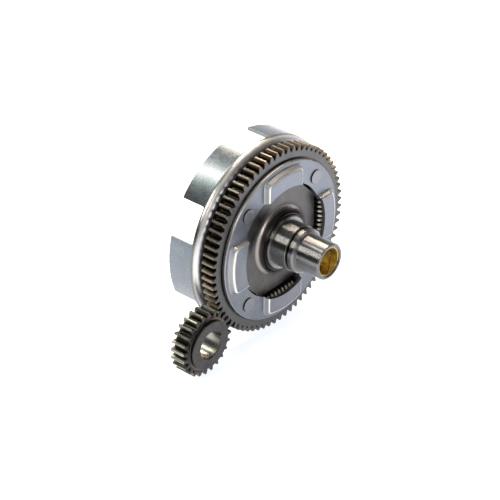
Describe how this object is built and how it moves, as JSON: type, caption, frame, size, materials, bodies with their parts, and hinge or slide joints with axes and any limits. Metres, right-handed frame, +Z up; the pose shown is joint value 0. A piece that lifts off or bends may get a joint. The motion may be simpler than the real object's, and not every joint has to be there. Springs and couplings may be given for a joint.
{
  "type": "clutch basket primary gear set",
  "caption": "Straight-cut primary drive: a large toothed gear with a sprung clutch basket and bearing sleeve, driven by a small pinion.",
  "frame": {"origin": "on the gear's axis, in the plane of the toothed rim's front face", "axes": "-Y along the gear's axis out through the hub sleeve, +Y into the clutch basket, +Z up, +X to the right seen from the sleeve end"},
  "size_m": [0.1604, 0.0775, 0.1335],
  "materials": {
    "gear_steel": "machined and oiled case-hardened steel",
    "pinion_steel": "dark heat-treated steel with ground teeth",
    "ground_steel": "cylindrically ground, polished",
    "zinc_plate": "zinc-plated pressed sheet, satin",
    "basket_steel": "zinc-plated pressed sheet, bright satin",
    "rivet_steel": "upset steel rivet, satin",
    "spacer_steel": "turned steel tube",
    "spring_steel": "oil-tempered spring wire",
    "bronze": "rolled bearing bronze, bright bore"
  },
  "bodies": {
    "bushes": {"front_bush": "bronze", "rear_bush": "bronze"},
    "gear": {"driven_gear": "gear_steel", "hub_sleeve": "ground_steel"},
    "springs": {"damper_spring_1": "spring_steel", "damper_spring_2": "spring_steel", "damper_spring_3": "spring_steel", "damper_spring_4": "spring_steel"},
    "basket": {"clutch_basket": "basket_steel", "cover_plate": "zinc_plate", "rivet_1": "rivet_steel", "rivet_2": "rivet_steel", "rivet_3": "rivet_steel", "rivet_4": "rivet_steel", "spacer_1": "spacer_steel", "spacer_2": "spacer_steel", "spacer_3": "spacer_steel", "spacer_4": "spacer_steel"},
    "pinion": {"pinion": "pinion_steel"}
  },
  "joints": [
    {"name": "gear_spin", "type": "hinge", "parent": "bushes", "child": "gear", "pos_m": [0, 0, 0], "axis": [0, -1, 0], "continuous": true},
    {"name": "damper_twist", "type": "hinge", "parent": "gear", "child": "basket", "pos_m": [0, 0, 0], "axis": [0, -1, 0], "range_deg": [-5, 5], "stiffness_Nm_per_rad": 20},
    {"name": "spring_travel", "type": "hinge", "parent": "gear", "child": "springs", "pos_m": [0, 0, 0], "axis": [0, -1, 0], "range_deg": [-2.5, 2.5], "deforming": ["damper_spring_1", "damper_spring_2", "damper_spring_3", "damper_spring_4"]},
    {"name": "pinion_spin", "type": "hinge", "parent": "bushes", "child": "pinion", "pos_m": [-0.07124, 0, -0.04451], "axis": [0, -1, 0], "continuous": true}
  ],
  "couplings": [
    {"joint": "pinion_spin", "follows": "gear_spin", "ratio": -3},
    {"joint": "spring_travel", "follows": "damper_twist", "ratio": 0.5}
  ]
}
